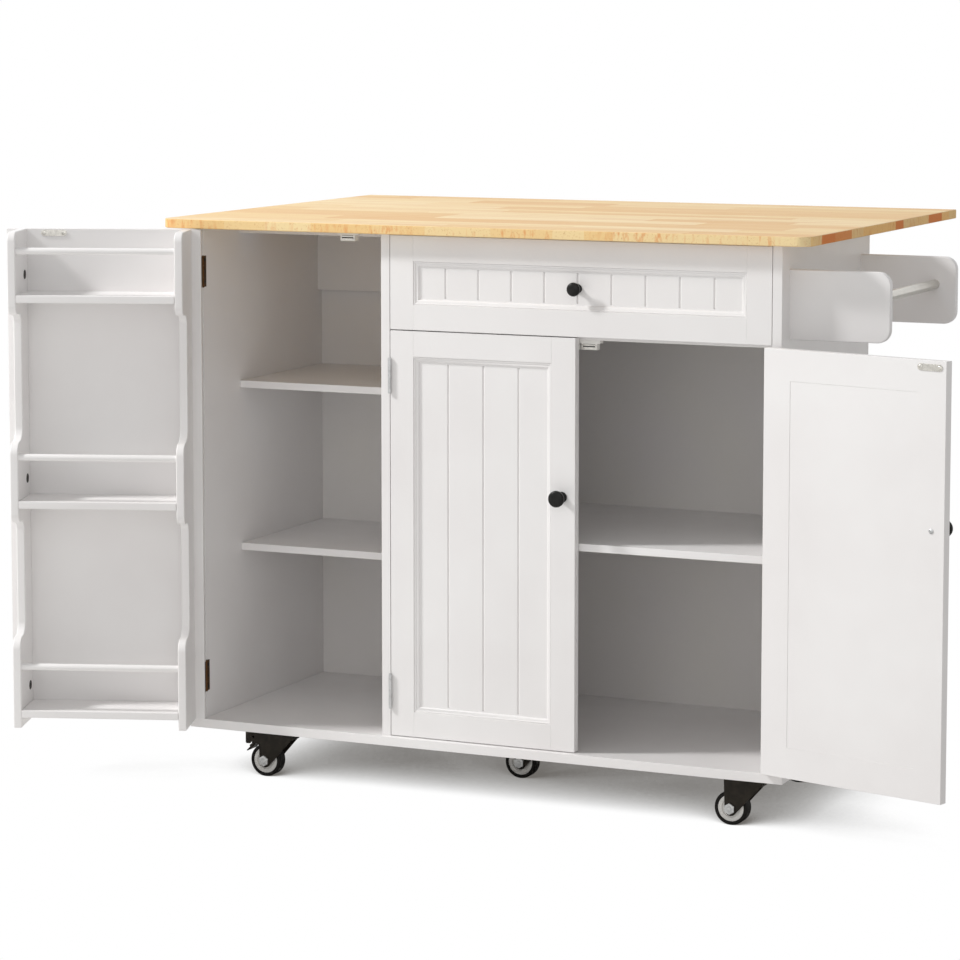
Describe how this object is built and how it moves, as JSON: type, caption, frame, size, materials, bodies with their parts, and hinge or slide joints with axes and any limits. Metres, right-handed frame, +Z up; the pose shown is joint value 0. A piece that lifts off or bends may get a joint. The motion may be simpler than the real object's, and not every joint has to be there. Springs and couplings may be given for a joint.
{
  "type": "kitchen cart",
  "caption": "Rolling kitchen island with a drop-leaf wooden worktop, panelled doors, a drawer, shelves, a spice-rack door and a towel rail.",
  "frame": {"origin": "on the floor, under the middle of the whole cart with its doors open and its leaf raised as pictured", "axes": "+X to the right along the front, +Y from the front to the back, +Z up"},
  "size_m": [1.5739, 0.9454, 0.914],
  "materials": {
    "painted_board": "white satin paint on board",
    "butcher_block": "oiled solid wood staves",
    "zinc_steel": "zinc plated",
    "bronze_steel": "dark bronze plating",
    "black_metal": "black powder coat",
    "white_plastic": "moulded",
    "wheel": "black tyre on a light grey hub"
  },
  "bodies": {
    "cabinet": {"worktop": "butcher_block", "leaf_hinge_fixed": "zinc_steel", "brace_brackets": "zinc_steel", "left_side_panel": "painted_board", "right_side_panel": "painted_board", "divider": "painted_board", "back_panel": "painted_board", "base_panel": "painted_board", "top_rails": "painted_board", "rear_rails": "painted_board", "middle_rail": "painted_board", "left_shelves": "painted_board", "right_shelf": "painted_board", "shelf_pins": "zinc_steel", "spice_hinge_fixed": "bronze_steel", "middle_hinge_fixed": "zinc_steel", "right_hinge_fixed": "zinc_steel", "catches": "white_plastic", "slides_fixed": "zinc_steel", "towel_brackets": "painted_board", "towel_rod": "zinc_steel", "caster_plates": "black_metal", "caster_screws": "zinc_steel"},
    "leaf": {"drop_leaf": "butcher_block", "leaf_hinge_moving": "zinc_steel", "leaf_tracks": "zinc_steel"},
    "braces": {"leaf_braces": "zinc_steel"},
    "spice_door": {"spice_door": "painted_board", "spice_hinge_moving": "bronze_steel", "rack_sides": "painted_board", "rack_shelves": "painted_board", "rack_rails": "painted_board", "rack_bolts": "black_metal", "spice_fittings": "black_metal"},
    "middle_door": {"middle_door_frame": "painted_board", "middle_door_panel": "painted_board", "middle_hinge_moving": "zinc_steel", "middle_fittings": "black_metal"},
    "right_door": {"right_door_frame": "painted_board", "right_door_panel": "painted_board", "right_hinge_moving": "zinc_steel", "right_fittings": "black_metal"},
    "drawer": {"drawer_front": "painted_board", "drawer_front_panel": "painted_board", "drawer_box": "painted_board", "drawer_bottom": "painted_board", "drawer_knob": "black_metal", "slides_moving": "zinc_steel"},
    "caster_front_left": {"fork_front_left": "black_metal"},
    "wheel_front_left": {"wheel_front_left": "wheel"},
    "caster_front_right": {"fork_front_right": "black_metal"},
    "wheel_front_right": {"wheel_front_right": "wheel"},
    "caster_rear_left": {"fork_rear_left": "black_metal"},
    "wheel_rear_left": {"wheel_rear_left": "wheel"},
    "caster_rear_right": {"fork_rear_right": "black_metal"},
    "wheel_rear_right": {"wheel_rear_right": "wheel"},
    "caster_middle": {"fork_middle": "black_metal"},
    "wheel_middle": {"wheel_middle": "wheel"},
    "brake_front": {"brake_front": "black_metal"},
    "brake_rear": {"brake_rear": "black_metal"}
  },
  "joints": [
    {"name": "spice_door_hinge", "type": "hinge", "parent": "cabinet", "child": "spice_door", "pos_m": [-0.48237, -0.27229, 0.5], "axis": [0, 0, 1], "range_deg": [-14.5, 160.5]},
    {"name": "middle_door_hinge", "type": "hinge", "parent": "cabinet", "child": "middle_door", "pos_m": [-0.14937, -0.27229, 0.42], "axis": [0, 0, 1], "range_deg": [-175, 0]},
    {"name": "right_door_hinge", "type": "hinge", "parent": "cabinet", "child": "right_door", "pos_m": [0.48363, -0.27229, 0.42], "axis": [0, 0, 1], "range_deg": [-165.1, 9.9]},
    {"name": "drawer_slide", "type": "slide", "parent": "cabinet", "child": "drawer", "axis": [0, -1, 0], "range_m": [0, 0.25]},
    {"name": "drop_leaf_hinge", "type": "hinge", "parent": "cabinet", "child": "leaf", "pos_m": [0.00063, 0.17471, 0.8965], "axis": [1, 0, 0], "range_deg": [-90, 0]},
    {"name": "leaf_brace_hinge", "type": "hinge", "parent": "cabinet", "child": "braces", "pos_m": [0.00063, 0.16671, 0.7965], "axis": [1, 0, 0], "range_deg": [-123.6, 0]},
    {"name": "swivel_front_left", "type": "hinge", "parent": "cabinet", "child": "caster_front_left", "pos_m": [-0.37837, -0.21529, 0.078], "axis": [0, 0, 1], "continuous": true},
    {"name": "axle_front_left", "type": "hinge", "parent": "caster_front_left", "child": "wheel_front_left", "pos_m": [-0.39937, -0.21529, 0.0268], "axis": [0, 1, 0], "continuous": true},
    {"name": "swivel_front_right", "type": "hinge", "parent": "cabinet", "child": "caster_front_right", "pos_m": [0.42963, -0.21529, 0.078], "axis": [0, 0, 1], "continuous": true},
    {"name": "axle_front_right", "type": "hinge", "parent": "caster_front_right", "child": "wheel_front_right", "pos_m": [0.40863, -0.21529, 0.0268], "axis": [0, 1, 0], "continuous": true},
    {"name": "swivel_rear_left", "type": "hinge", "parent": "cabinet", "child": "caster_rear_left", "pos_m": [-0.37837, 0.10071, 0.078], "axis": [0, 0, 1], "continuous": true},
    {"name": "axle_rear_left", "type": "hinge", "parent": "caster_rear_left", "child": "wheel_rear_left", "pos_m": [-0.39937, 0.10071, 0.0268], "axis": [0, 1, 0], "continuous": true},
    {"name": "swivel_rear_right", "type": "hinge", "parent": "cabinet", "child": "caster_rear_right", "pos_m": [0.42963, 0.10071, 0.078], "axis": [0, 0, 1], "continuous": true},
    {"name": "axle_rear_right", "type": "hinge", "parent": "caster_rear_right", "child": "wheel_rear_right", "pos_m": [0.40863, 0.10071, 0.0268], "axis": [0, 1, 0], "continuous": true},
    {"name": "swivel_middle", "type": "hinge", "parent": "cabinet", "child": "caster_middle", "pos_m": [0.00763, -0.05729, 0.078], "axis": [0, 0, 1], "continuous": true},
    {"name": "axle_middle", "type": "hinge", "parent": "caster_middle", "child": "wheel_middle", "pos_m": [-0.01337, -0.05729, 0.0268], "axis": [0, 1, 0], "continuous": true},
    {"name": "brake_pivot_front", "type": "hinge", "parent": "caster_front_left", "child": "brake_front", "pos_m": [-0.41937, -0.21529, 0.065], "axis": [0, 1, 0], "range_deg": [-9, 0]},
    {"name": "brake_pivot_rear", "type": "hinge", "parent": "caster_rear_left", "child": "brake_rear", "pos_m": [-0.41937, 0.10071, 0.065], "axis": [0, 1, 0], "range_deg": [-9, 0]}
  ],
  "couplings": [
    {"joint": "leaf_brace_hinge", "follows": "drop_leaf_hinge", "ratio": 1.3705}
  ]
}
